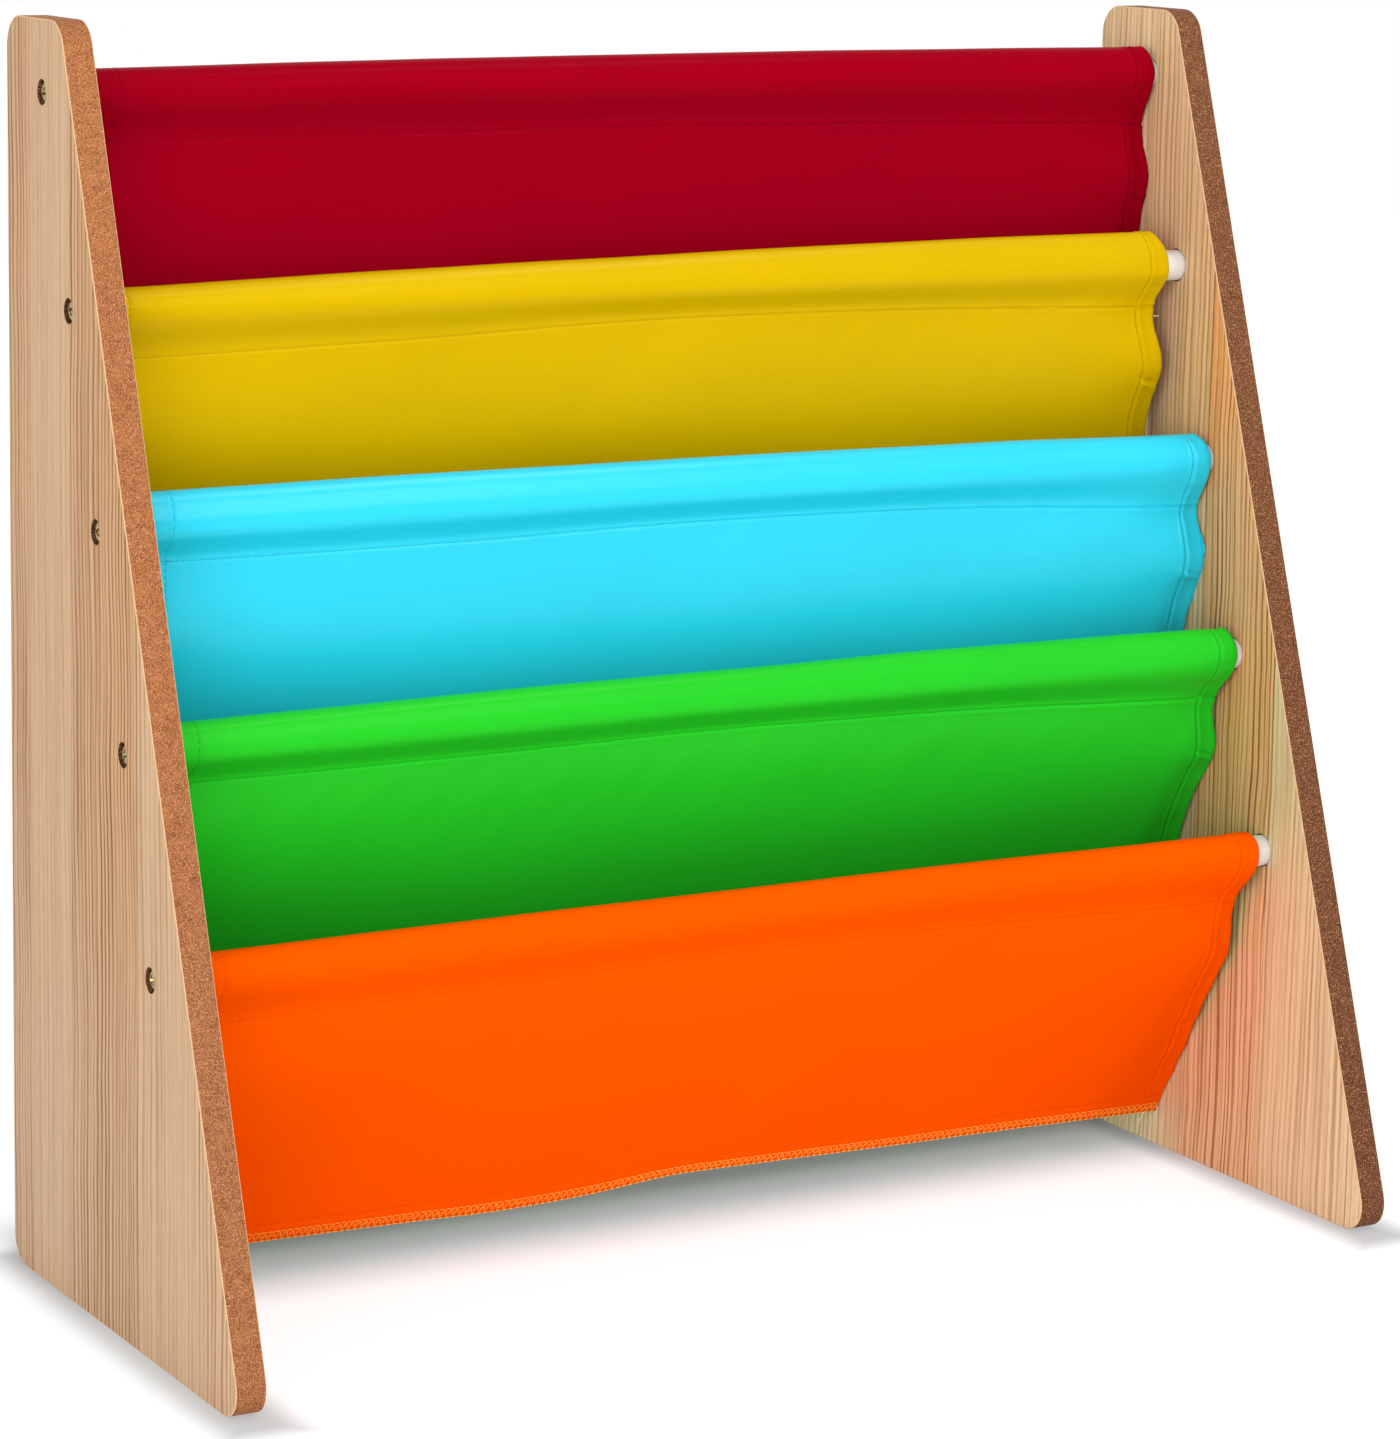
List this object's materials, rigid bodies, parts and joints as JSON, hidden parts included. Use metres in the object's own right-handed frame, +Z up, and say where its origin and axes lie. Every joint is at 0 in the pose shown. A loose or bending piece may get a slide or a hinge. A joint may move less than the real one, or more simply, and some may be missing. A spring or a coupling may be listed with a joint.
{
  "type": "sling bookshelf",
  "caption": "Child's sling bookshelf: sloping side panels joined by screwed white rods, with coloured cloth slings that form stepped book pockets.",
  "frame": {"origin": "on the floor, midway between the two side panels and midway between their front and back", "axes": "+X across the shelf from the left panel to the right one, +Y from the front to the back, +Z up"},
  "size_m": [0.64, 0.2662, 0.61],
  "materials": {
    "panel_laminate": "matt wood-grain laminate on both faces, bare pressed board with rounded corners on the edges",
    "rod_white": "satin white lacquer on a round dowel",
    "insert_brass": "plain turned brass",
    "screw_steel": "yellow passivated steel, satin",
    "cloth_red": "smooth close-woven polyester cloth, hemmed, with a soft sheen on its folds",
    "cloth_yellow": "smooth close-woven polyester cloth, hemmed, with a soft sheen on its folds",
    "cloth_blue": "smooth close-woven polyester cloth, hemmed, with a soft sheen on its folds",
    "cloth_green": "smooth close-woven polyester cloth, hemmed, with a soft sheen on its folds",
    "cloth_orange": "smooth close-woven polyester cloth, hemmed, with a soft sheen on its folds"
  },
  "bodies": {
    "root": {"side_panel_left": "panel_laminate", "side_panel_right": "panel_laminate", "rod_1": "rod_white", "rod_2": "rod_white", "rod_3": "rod_white", "rod_4": "rod_white", "rod_5": "rod_white", "insert_1_left": "insert_brass", "insert_1_right": "insert_brass", "screw_1_left": "screw_steel", "screw_1_right": "screw_steel", "insert_2_left": "insert_brass", "insert_2_right": "insert_brass", "screw_2_left": "screw_steel", "screw_2_right": "screw_steel", "insert_3_left": "insert_brass", "insert_3_right": "insert_brass", "screw_3_left": "screw_steel", "screw_3_right": "screw_steel", "insert_4_left": "insert_brass", "insert_4_right": "insert_brass", "screw_4_left": "screw_steel", "screw_4_right": "screw_steel", "insert_5_left": "insert_brass", "insert_5_right": "insert_brass", "screw_5_left": "screw_steel", "screw_5_right": "screw_steel", "sling_red": "cloth_red", "sling_yellow": "cloth_yellow", "sling_blue": "cloth_blue", "sling_green": "cloth_green", "sling_orange": "cloth_orange"}
  },
  "joints": []
}
